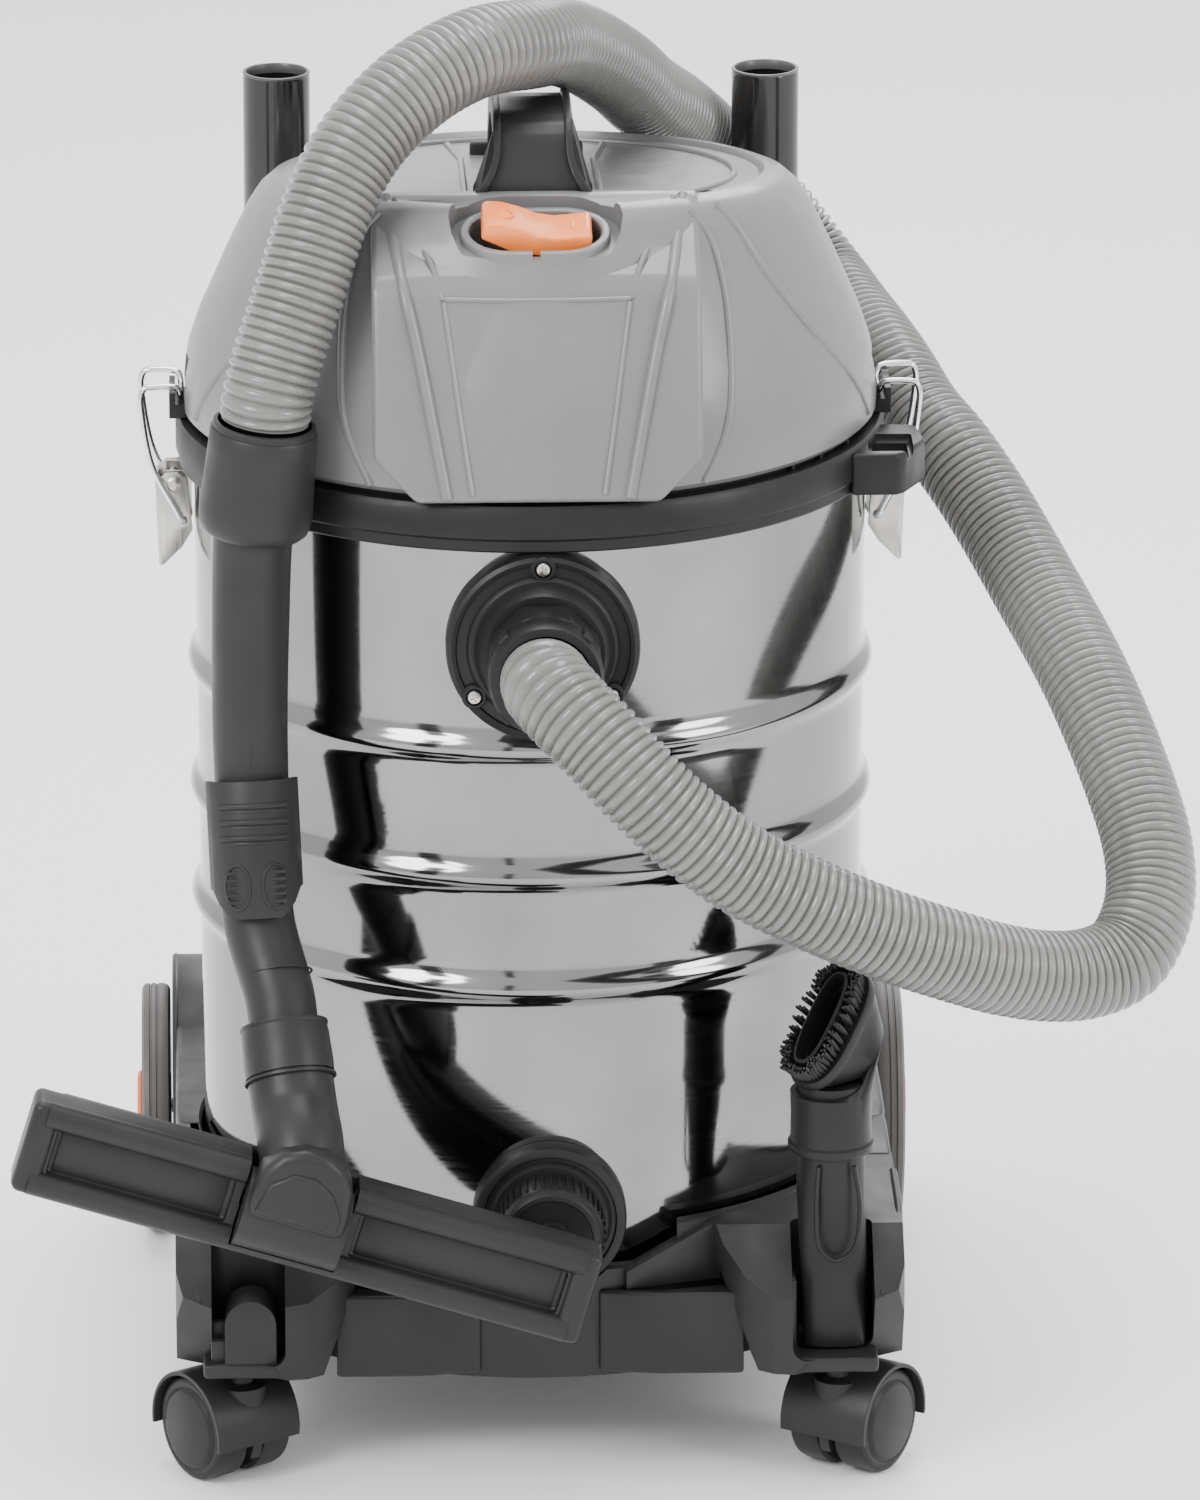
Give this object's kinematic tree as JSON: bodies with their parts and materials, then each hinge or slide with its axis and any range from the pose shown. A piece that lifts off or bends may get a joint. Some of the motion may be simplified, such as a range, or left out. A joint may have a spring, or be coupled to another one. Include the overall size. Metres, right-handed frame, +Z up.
{
  "type": "wet and dry vacuum cleaner",
  "caption": "Upright drum vacuum cleaner: latched motor head on a steel drum, suction hose with hand tube and floor nozzle, wheeled base that stores the tools.",
  "frame": {"origin": "on the floor, under the middle of the machine's box measured without the free hose; the drum's axis stands at x 29.85 mm, y 1.6 mm", "axes": "+Z up, -Y the front with the inlet and the switch, +X the machine's side that is on the right as seen from the front"},
  "size_m": [0.5974, 0.5739, 0.741],
  "materials": {
    "grey_plastic": "satin moulded, mid grey",
    "black_plastic": "satin moulded, black",
    "charcoal_plastic": "satin moulded, charcoal",
    "gloss_black": "glossy black",
    "polished_steel": "mirror polished stainless",
    "satin_steel": "satin",
    "cast_aluminium": "as cast",
    "orange_plastic": "satin moulded, orange",
    "hose_grey": "soft sheen, silver grey",
    "seal_rubber": "matte",
    "tread": "satin, dark grey",
    "bristle": "black bristles",
    "filter_paper": "pleated paper",
    "white_plastic": "satin, white"
  },
  "bodies": {
    "machine": {"head_cover": "grey_plastic", "rim_band": "black_plastic", "inlet_flange": "black_plastic", "inlet_deflector": "black_plastic", "drain_flange": "black_plastic", "head_base": "black_plastic", "exhaust_grille": "black_plastic", "cord_gland": "black_plastic", "switch_housing": "black_plastic", "float_cage": "black_plastic", "hand_tube": "black_plastic", "carry_handle": "charcoal_plastic", "nozzle_neck": "charcoal_plastic", "trolley_base": "charcoal_plastic", "tube_socket_left": "charcoal_plastic", "tube_socket_right": "charcoal_plastic", "drum": "polished_steel", "inlet_screw_1": "satin_steel", "inlet_screw_2": "satin_steel", "inlet_screw_3": "satin_steel", "latch_bracket_left": "satin_steel", "latch_bracket_right": "satin_steel", "latch_pin_left": "satin_steel", "latch_pin_right": "satin_steel", "rear_axle": "satin_steel", "motor": "cast_aluminium", "hose": "hose_grey", "head_gasket": "seal_rubber", "filter_cartridge": "filter_paper"},
    "switch": {"switch_rocker": "orange_plastic"},
    "latch_lever_left": {"latch_lever_left": "satin_steel"},
    "latch_lever_right": {"latch_lever_right": "satin_steel"},
    "latch_bail_left": {"latch_bail_left": "polished_steel"},
    "latch_bail_right": {"latch_bail_right": "polished_steel"},
    "impeller": {"impeller": "cast_aluminium"},
    "float_ball": {"float_ball": "white_plastic"},
    "hose_collar": {"hose_collar": "black_plastic"},
    "drain_cap": {"drain_cap": "black_plastic"},
    "hose_cuff": {"hose_cuff": "charcoal_plastic"},
    "air_slider": {"air_slider": "charcoal_plastic"},
    "nozzle": {"nozzle_head": "charcoal_plastic", "nozzle_bristles_upper": "bristle", "nozzle_bristles_lower": "bristle"},
    "extension_tube_left": {"extension_tube_left": "gloss_black"},
    "extension_tube_right": {"extension_tube_right": "gloss_black"},
    "crevice_tool": {"crevice_tool": "black_plastic"},
    "dust_brush": {"dust_brush": "black_plastic", "dust_brush_bristles": "bristle"},
    "rear_wheel_left": {"rear_wheel_left": "tread", "hub_cap_left": "orange_plastic"},
    "rear_wheel_right": {"rear_wheel_right": "tread", "hub_cap_right": "orange_plastic"},
    "caster_left": {"caster_hood_left": "charcoal_plastic", "caster_axle_left": "satin_steel"},
    "caster_wheel_left_outer": {"caster_wheel_left_outer": "black_plastic"},
    "caster_wheel_left_inner": {"caster_wheel_left_inner": "black_plastic"},
    "caster_right": {"caster_hood_right": "charcoal_plastic", "caster_axle_right": "satin_steel"},
    "caster_wheel_right_outer": {"caster_wheel_right_outer": "black_plastic"},
    "caster_wheel_right_inner": {"caster_wheel_right_inner": "black_plastic"}
  },
  "joints": [
    {"name": "switch_tip", "type": "hinge", "parent": "machine", "child": "switch", "pos_m": [0.02985, -0.1204, 0.6395], "axis": [0, 0.9703, 0.2419], "range_deg": [-14, 0]},
    {"name": "latch_lever_left_swing", "type": "hinge", "parent": "machine", "child": "latch_lever_left", "pos_m": [-0.15215, 0.0016, 0.479], "axis": [0, 1, 0], "range_deg": [0, 90]},
    {"name": "latch_bail_left_follow", "type": "hinge", "parent": "latch_lever_left", "child": "latch_bail_left", "pos_m": [-0.14715, 0.0016, 0.46], "axis": [0, 1, 0], "range_deg": [-65, 0]},
    {"name": "latch_lever_right_swing", "type": "hinge", "parent": "machine", "child": "latch_lever_right", "pos_m": [0.21185, 0.0016, 0.479], "axis": [0, -1, 0], "range_deg": [0, 90]},
    {"name": "latch_bail_right_follow", "type": "hinge", "parent": "latch_lever_right", "child": "latch_bail_right", "pos_m": [0.20685, 0.0016, 0.46], "axis": [0, -1, 0], "range_deg": [-65, 0]},
    {"name": "impeller_spin", "type": "hinge", "parent": "machine", "child": "impeller", "pos_m": [0.02985, 0.0016, 0.53], "axis": [0, 0, 1], "continuous": true},
    {"name": "float_rise", "type": "slide", "parent": "machine", "child": "float_ball", "axis": [0, 0, 1], "range_m": [0, 0.028]},
    {"name": "collar_turn", "type": "hinge", "parent": "machine", "child": "hose_collar", "pos_m": [0.03185, -0.2134, 0.441], "axis": [0, -1, 0], "range_deg": [0, 40]},
    {"name": "drain_cap_turn", "type": "hinge", "parent": "machine", "child": "drain_cap", "pos_m": [0.03485, -0.1984, 0.138], "axis": [0, -1, 0], "range_deg": [0, 45]},
    {"name": "cuff_swivel", "type": "hinge", "parent": "machine", "child": "hose_cuff", "pos_m": [-0.10865, -0.1556, 0.5255], "axis": [0.1045, -0.061, 0.9927], "continuous": true},
    {"name": "air_slider_slide", "type": "slide", "parent": "machine", "child": "air_slider", "axis": [-0.0429, 0.2329, 0.9716], "range_m": [0, 0.012]},
    {"name": "nozzle_tilt", "type": "hinge", "parent": "machine", "child": "nozzle", "pos_m": [-0.0958, -0.2524, 0.16734], "axis": [-0.9563, 0, 0.2924], "range_deg": [0, 60]},
    {"name": "extension_tube_left_lift", "type": "slide", "parent": "machine", "child": "extension_tube_left", "axis": [0, 0, 1], "range_m": [0, 0.12]},
    {"name": "extension_tube_right_lift", "type": "slide", "parent": "machine", "child": "extension_tube_right", "axis": [0, 0, 1], "range_m": [0, 0.12]},
    {"name": "crevice_tool_lift", "type": "slide", "parent": "machine", "child": "crevice_tool", "axis": [0, 0, 1], "range_m": [0, 0.11]},
    {"name": "dust_brush_pull", "type": "slide", "parent": "crevice_tool", "child": "dust_brush", "axis": [0, 0, 1], "range_m": [0, 0.04]},
    {"name": "caster_left_swivel", "type": "hinge", "parent": "machine", "child": "caster_left", "pos_m": [-0.12215, -0.1764, 0.057], "axis": [0, 0, 1], "continuous": true},
    {"name": "caster_wheel_left_outer_roll", "type": "hinge", "parent": "caster_left", "child": "caster_wheel_left_outer", "pos_m": [-0.13018, -0.16493, 0.027], "axis": [-0.8192, -0.5736, 0], "continuous": true},
    {"name": "caster_wheel_left_inner_roll", "type": "hinge", "parent": "caster_left", "child": "caster_wheel_left_inner", "pos_m": [-0.13018, -0.16493, 0.027], "axis": [-0.8192, -0.5736, 0], "continuous": true},
    {"name": "rear_wheel_left_roll", "type": "hinge", "parent": "machine", "child": "rear_wheel_left", "pos_m": [0.02985, 0.2066, 0.066], "axis": [1, 0, 0], "continuous": true},
    {"name": "caster_right_swivel", "type": "hinge", "parent": "machine", "child": "caster_right", "pos_m": [0.18185, -0.1764, 0.057], "axis": [0, 0, 1], "continuous": true},
    {"name": "caster_wheel_right_outer_roll", "type": "hinge", "parent": "caster_right", "child": "caster_wheel_right_outer", "pos_m": [0.18988, -0.16493, 0.027], "axis": [0.8192, -0.5736, 0], "continuous": true},
    {"name": "caster_wheel_right_inner_roll", "type": "hinge", "parent": "caster_right", "child": "caster_wheel_right_inner", "pos_m": [0.18988, -0.16493, 0.027], "axis": [0.8192, -0.5736, 0], "continuous": true},
    {"name": "rear_wheel_right_roll", "type": "hinge", "parent": "machine", "child": "rear_wheel_right", "pos_m": [0.02985, 0.2066, 0.066], "axis": [1, 0, 0], "continuous": true}
  ],
  "couplings": [
    {"joint": "latch_bail_left_follow", "follows": "latch_lever_left_swing", "ratio": -0.72},
    {"joint": "latch_bail_right_follow", "follows": "latch_lever_right_swing", "ratio": -0.72}
  ]
}
